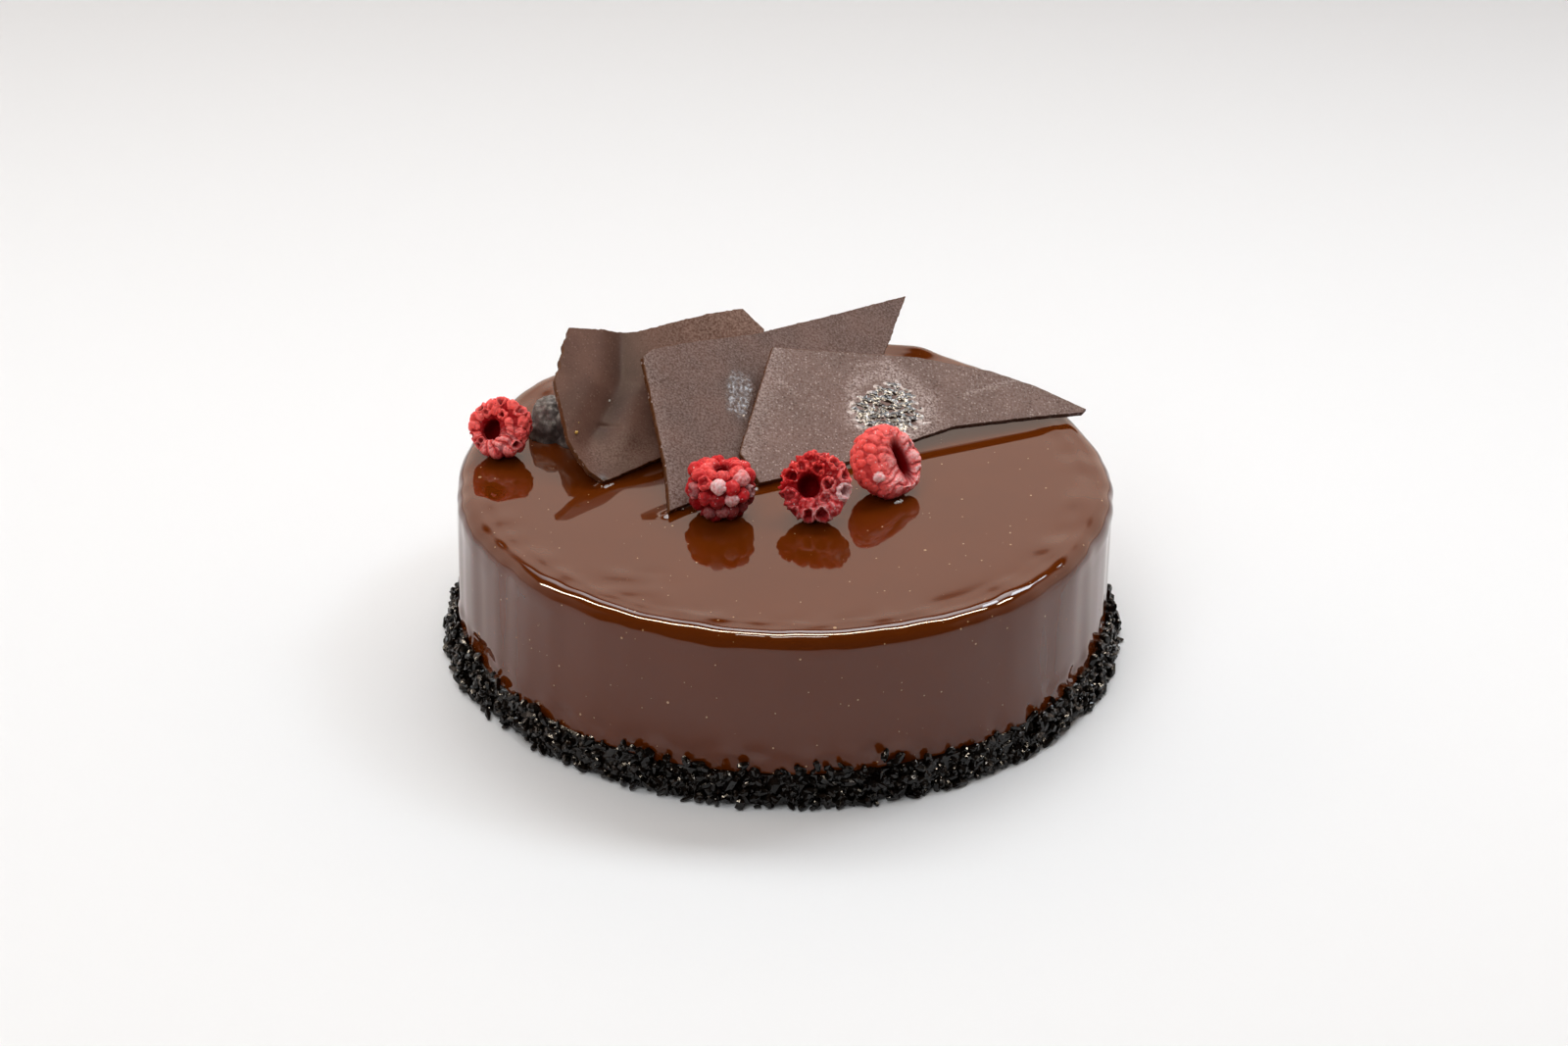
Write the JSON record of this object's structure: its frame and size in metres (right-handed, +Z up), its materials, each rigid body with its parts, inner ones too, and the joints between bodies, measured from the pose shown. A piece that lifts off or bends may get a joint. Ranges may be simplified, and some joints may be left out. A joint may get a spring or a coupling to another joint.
{
  "type": "chocolate mousse cake",
  "caption": "Round glazed chocolate mousse cake with a crumb border at its foot, leaning chocolate sheets and raspberries on top.",
  "frame": {"origin": "middle of the cake's flat underside", "axes": "+Z up; -Y is the front, towards which the chocolate sheets slope down and before which most of the berries lie"},
  "size_m": [0.2096, 0.2097, 0.0885],
  "materials": {
    "glaze": "mirror-glossy chocolate glaze",
    "sheet_chocolate": "satin dark chocolate",
    "frosted_chocolate": "satin dark chocolate under fine frost",
    "lump_chocolate": "dull dark chocolate",
    "berry": "frosted raspberry flesh"
  },
  "bodies": {
    "root": {"glazed_cake": "glaze", "chocolate_sheet_left": "sheet_chocolate", "chocolate_sheet_middle": "sheet_chocolate", "chocolate_sheet_right": "frosted_chocolate", "chocolate_lump": "lump_chocolate", "raspberry_left": "berry", "raspberry_middle": "berry", "raspberry_front": "berry", "raspberry_right": "berry"}
  },
  "joints": []
}
